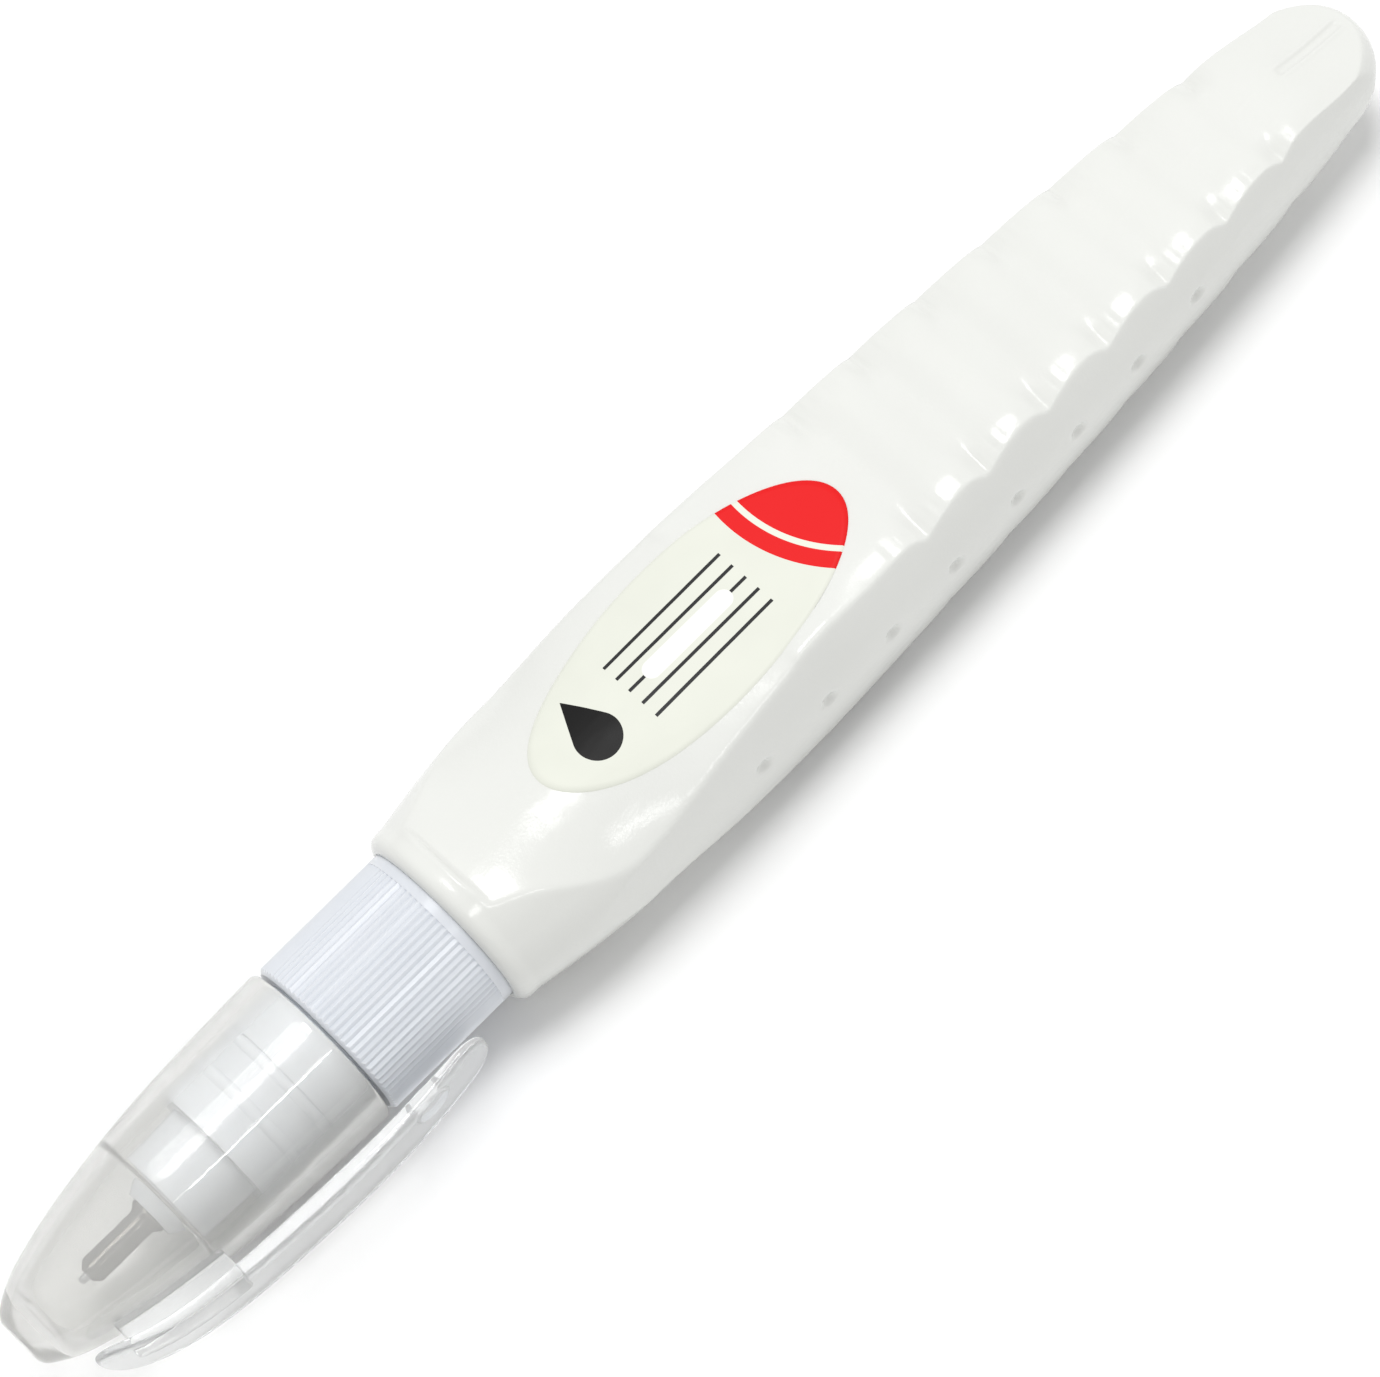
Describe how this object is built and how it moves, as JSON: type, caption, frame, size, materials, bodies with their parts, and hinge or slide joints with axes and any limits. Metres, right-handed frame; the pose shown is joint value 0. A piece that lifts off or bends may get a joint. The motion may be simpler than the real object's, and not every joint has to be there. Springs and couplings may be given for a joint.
{
  "type": "correction pen",
  "caption": "Pocket correction pen: squeeze bottle with scalloped grip faces, ribbed nozzle collar, sprung needle tip and a clear push-on cap with a clip.",
  "frame": {"origin": "middle of the cap's flat end, on the pen's axis", "axes": "+X along the pen from the cap's end to the bottle's tail, +Z out of the labelled face, the clip on the -Y side"},
  "size_m": [0.1301, 0.0183, 0.0154],
  "materials": {
    "bottle_plastic": "white blow-moulded polyethylene, satin",
    "label_film": "cream film sticker with plain colour areas",
    "nozzle_plastic": "bluish white moulded polypropylene",
    "tip_metal": "turned nickel silver",
    "valve_plastic": "white moulded acetal",
    "steel": "stainless steel",
    "cap_plastic": "natural translucent polypropylene"
  },
  "bodies": {
    "pen_body": {"bottle": "bottle_plastic", "front_label": "label_film", "nozzle_collar": "nozzle_plastic", "metal_tip": "tip_metal", "spring_retainer": "valve_plastic", "valve_spring": "steel"},
    "cap": {"cap": "cap_plastic"},
    "valve": {"valve_needle": "steel", "valve_rod": "valve_plastic"},
    "ball": {"mixing_ball": "steel"}
  },
  "joints": [
    {"name": "cap_pull", "type": "slide", "parent": "pen_body", "child": "cap", "axis": [-1, 0, 0], "range_m": [0, 0.03]},
    {"name": "valve_press", "type": "slide", "parent": "pen_body", "child": "valve", "axis": [1, 0, 0], "range_m": [0, 0.0006], "stiffness_N_per_m": 200, "springref_m": -0.0001, "deforming": ["valve_spring"]},
    {"name": "ball_roll", "type": "slide", "parent": "pen_body", "child": "ball", "axis": [0.9998, 0, 0.0182], "range_m": [0, 0.044]}
  ]
}
